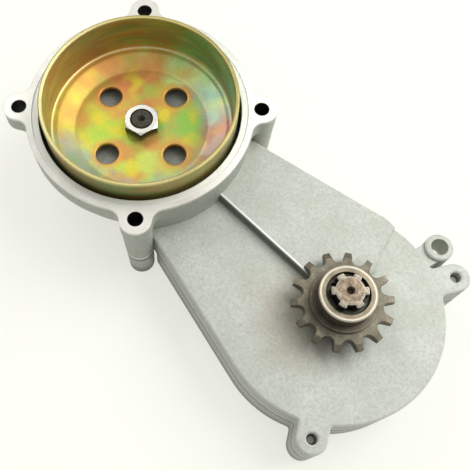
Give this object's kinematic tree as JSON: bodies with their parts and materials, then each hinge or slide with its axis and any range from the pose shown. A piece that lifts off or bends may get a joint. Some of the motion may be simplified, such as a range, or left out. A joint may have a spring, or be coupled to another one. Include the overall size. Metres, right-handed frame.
{
  "type": "gearbox clutch",
  "caption": "Reduction gearbox for a small two-stroke engine: die-cast case, open clutch drum in its cup, enclosed gear train and a chain sprocket on the splined output shaft.",
  "frame": {"origin": "middle of the four engine ears, on the machined rim face of the cup", "axes": "+Z out of the mouth of the clutch drum towards the engine, +X from the clutch shaft to the output shaft"},
  "size_m": [0.206, 0.1068, 0.0545],
  "materials": {
    "cast_aluminium": "die cast, fine blasted, machined rim",
    "gasket_paper": "pressed paper",
    "black_steel": "blackened",
    "ground_steel": "ground",
    "zinc_yellow_steel": "yellow zinc passivated, iridescent",
    "bright_zinc_steel": "bright zinc plated",
    "oiled_gear_steel": "machined, oiled",
    "bronze": "sintered bronze",
    "worn_steel": "plain, oily, lightly worn",
    "bearing_steel": "ground and polished"
  },
  "bodies": {
    "case": {"main_housing": "cast_aluminium", "back_cover": "cast_aluminium", "case_gasket": "gasket_paper", "cover_screws": "black_steel", "dowel_pins": "ground_steel", "idler_pin_1": "ground_steel", "idler_pin_2": "ground_steel", "idler_washers": "ground_steel", "input_bearing_outer_ring": "bearing_steel", "input_bearing_balls": "bearing_steel", "input_tail_bearing_outer_ring": "bearing_steel", "input_tail_bearing_balls": "bearing_steel", "output_bearing_outer_ring": "bearing_steel", "output_bearing_balls": "bearing_steel", "output_tail_bearing_outer_ring": "bearing_steel", "output_tail_bearing_balls": "bearing_steel"},
    "drum": {"clutch_drum": "zinc_yellow_steel", "drum_nut": "bright_zinc_steel", "drum_spacer": "ground_steel", "input_shaft": "ground_steel", "input_bearing_inner_ring": "bearing_steel", "input_tail_bearing_inner_ring": "bearing_steel"},
    "idler_1": {"idler_gear_1": "oiled_gear_steel", "idler_bush_1": "bronze"},
    "idler_2": {"idler_gear_2": "oiled_gear_steel", "idler_bush_2": "bronze"},
    "output": {"output_shaft": "worn_steel", "output_gear": "oiled_gear_steel", "output_key": "ground_steel", "gear_circlip": "black_steel", "sprocket": "worn_steel", "sprocket_circlip": "black_steel", "output_bearing_inner_ring": "bearing_steel", "output_tail_bearing_inner_ring": "bearing_steel"}
  },
  "joints": [
    {"name": "output_spin", "type": "hinge", "parent": "case", "child": "output", "pos_m": [0.114, 0, 0], "axis": [0, 0, 1], "continuous": true},
    {"name": "drum_spin", "type": "hinge", "parent": "case", "child": "drum", "pos_m": [0, 0, 0], "axis": [0, 0, 1], "continuous": true},
    {"name": "idler_1_spin", "type": "hinge", "parent": "case", "child": "idler_1", "pos_m": [0.02834, -0.00298, 0], "axis": [0, 0, 1], "continuous": true},
    {"name": "idler_2_spin", "type": "hinge", "parent": "case", "child": "idler_2", "pos_m": [0.06021, 0.01023, 0], "axis": [0, 0, 1], "continuous": true}
  ],
  "couplings": [
    {"joint": "drum_spin", "follows": "output_spin", "ratio": -3.3333},
    {"joint": "idler_1_spin", "follows": "output_spin", "ratio": 2.1739},
    {"joint": "idler_2_spin", "follows": "output_spin", "ratio": -2.1739}
  ]
}
